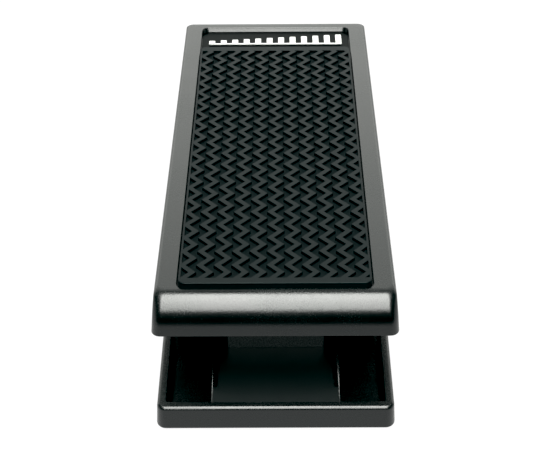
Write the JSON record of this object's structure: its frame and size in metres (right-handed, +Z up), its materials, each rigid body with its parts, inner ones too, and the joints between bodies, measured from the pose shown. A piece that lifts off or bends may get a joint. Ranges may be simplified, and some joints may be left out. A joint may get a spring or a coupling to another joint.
{
  "type": "volume pedal",
  "caption": "Rocking foot pedal for a keyboard: a treadle with a zigzag rubber mat turns a potentiometer in its low base through a gear pair, and stays where the foot leaves it.",
  "frame": {"origin": "centre of the footprint, on the floor", "axes": "+Z up, +Y towards the toe, X across the pedal along the axle"},
  "size_m": [0.0968, 0.2513, 0.058],
  "materials": {
    "case_plastic": "satin, fine grain",
    "plate_plastic": "fine grain",
    "mat_rubber": "matt, moulded",
    "black_rubber": "matt",
    "panel_plastic": "smooth satin",
    "white_ink": "satin white",
    "bright_steel": "ground",
    "black_steel": "black oxide",
    "nylon": "natural nylon",
    "brass": "turned",
    "circuit_board": "solder mask",
    "red_lead": "soft insulation",
    "white_lead": "soft insulation",
    "black_lead": "soft insulation"
  },
  "bodies": {
    "base": {"base_casing": "case_plastic", "bottom_plate": "plate_plastic", "rubber_foot_1": "black_rubber", "rubber_foot_2": "black_rubber", "rubber_foot_3": "black_rubber", "rubber_foot_4": "black_rubber", "stop_pad_heel": "black_rubber", "stop_pad_toe": "black_rubber", "axle": "bright_steel", "retaining_clip_left": "black_steel", "retaining_clip_right": "black_steel", "friction_washer_left": "brass", "friction_washer_right": "brass", "potentiometer_body": "bright_steel", "potentiometer_washer": "bright_steel", "potentiometer_nut": "bright_steel", "potentiometer_bracket": "bright_steel", "circuit_board": "circuit_board", "switch_body": "black_steel", "lead_red": "red_lead", "lead_white": "white_lead", "lead_black": "black_lead", "cable_gland": "black_rubber", "plate_screw_1": "black_steel", "plate_screw_2": "black_steel", "plate_screw_3": "black_steel", "plate_screw_4": "black_steel", "plate_screw_5": "black_steel", "plate_screw_6": "black_steel", "board_screw_1": "black_steel", "board_screw_2": "black_steel", "bracket_screw_1": "black_steel", "bracket_screw_2": "black_steel"},
    "treadle": {"treadle_shell": "case_plastic", "tread_mat": "mat_rubber", "badge_panel": "panel_plastic", "badge_mark": "white_ink", "axle_bush_left": "nylon", "axle_bush_right": "nylon", "sector_gear": "nylon", "sector_screw_1": "black_steel", "sector_screw_2": "black_steel"},
    "shaft": {"potentiometer_shaft": "brass", "pinion_gear": "nylon"},
    "polarity_slider": {"switch_slider": "nylon"}
  },
  "joints": [
    {"name": "treadle_rock", "type": "hinge", "parent": "base", "child": "treadle", "pos_m": [0, 0.007, 0.03], "axis": [1, 0, 0], "range_deg": [-2.5, 13.1]},
    {"name": "shaft_turn", "type": "hinge", "parent": "base", "child": "shaft", "pos_m": [0, 0.04211, 0.02202], "axis": [1, 0, 0], "range_deg": [-66, 13]},
    {"name": "polarity_slide", "type": "slide", "parent": "base", "child": "polarity_slider", "axis": [0, 1, 0], "range_m": [0, 0.003]}
  ],
  "couplings": [
    {"joint": "shaft_turn", "follows": "treadle_rock", "ratio": -5}
  ]
}
